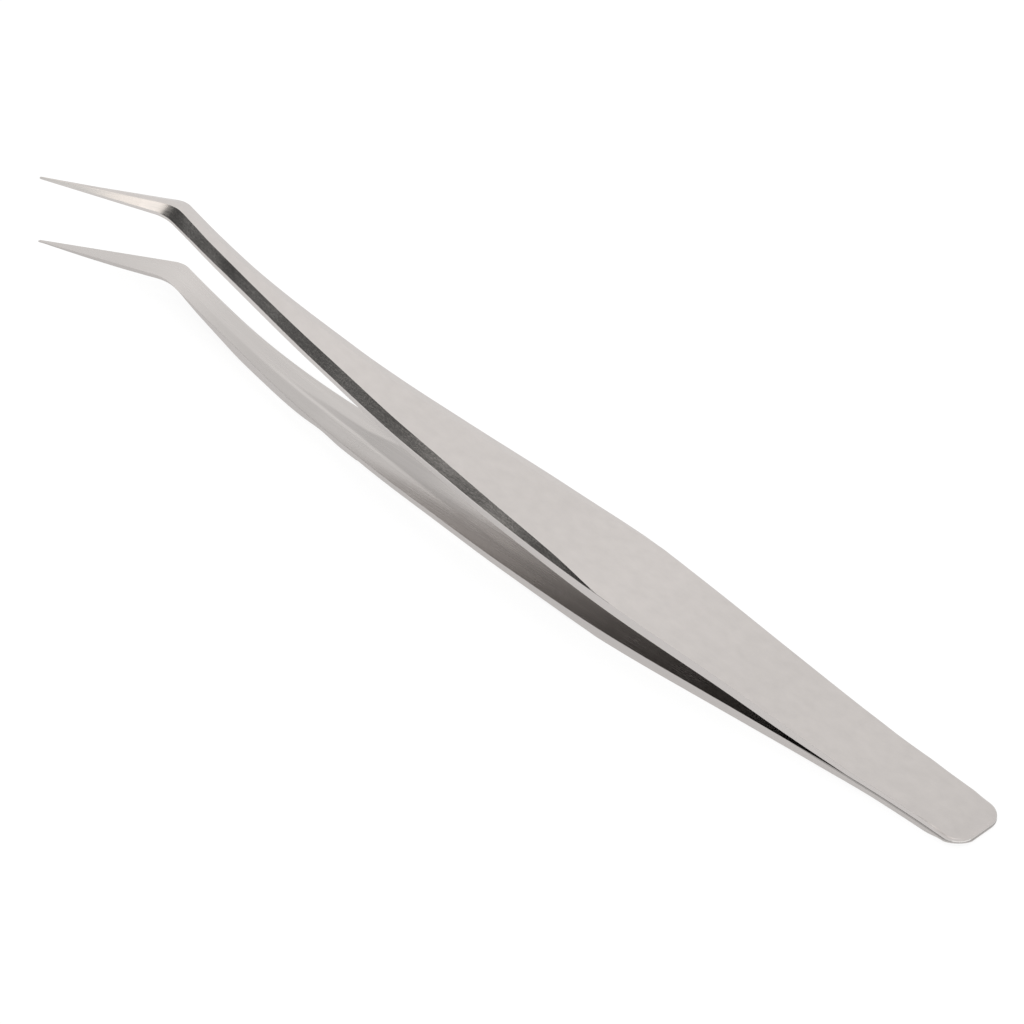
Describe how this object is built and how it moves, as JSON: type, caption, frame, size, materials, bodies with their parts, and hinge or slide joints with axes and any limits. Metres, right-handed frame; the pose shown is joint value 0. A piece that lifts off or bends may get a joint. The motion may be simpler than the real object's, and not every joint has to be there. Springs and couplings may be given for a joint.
{
  "type": "bent-point tweezers",
  "caption": "Needle-point tweezers with sideways-bent points: bevelled flat steel arms, welded flush at a rounded tail, spring apart and flex closed.",
  "frame": {"origin": "middle of the tail's straight end cut, on the plane where the two arms meet", "axes": "+X from the tail to the points, +Z the way the upper arm opens, +Y the side the points bend towards"},
  "size_m": [0.14, 0.0115, 0.0112],
  "materials": {
    "arm_steel": "satin stainless steel, warm light grey, fine lengthwise grind on the bevels and inner faces",
    "weld_metal": "resolidified stainless steel, dull"
  },
  "bodies": {
    "tail": {"upper_arm_root": "arm_steel", "lower_arm_root": "arm_steel", "front_spot_weld": "weld_metal", "rear_spot_weld": "weld_metal"},
    "upper_arm": {"upper_arm_blade": "arm_steel"},
    "lower_arm": {"lower_arm_blade": "arm_steel"}
  },
  "joints": [
    {"name": "upper_arm_flex", "type": "hinge", "parent": "tail", "child": "upper_arm", "pos_m": [0.028, 0, 0.00114], "axis": [0, 1, 0], "range_deg": [0, 2.34], "stiffness_Nm_per_rad": 7},
    {"name": "lower_arm_flex", "type": "hinge", "parent": "tail", "child": "lower_arm", "pos_m": [0.028, 0, -0.00114], "axis": [0, -1, 0], "range_deg": [0, 2.34], "stiffness_Nm_per_rad": 7}
  ]
}
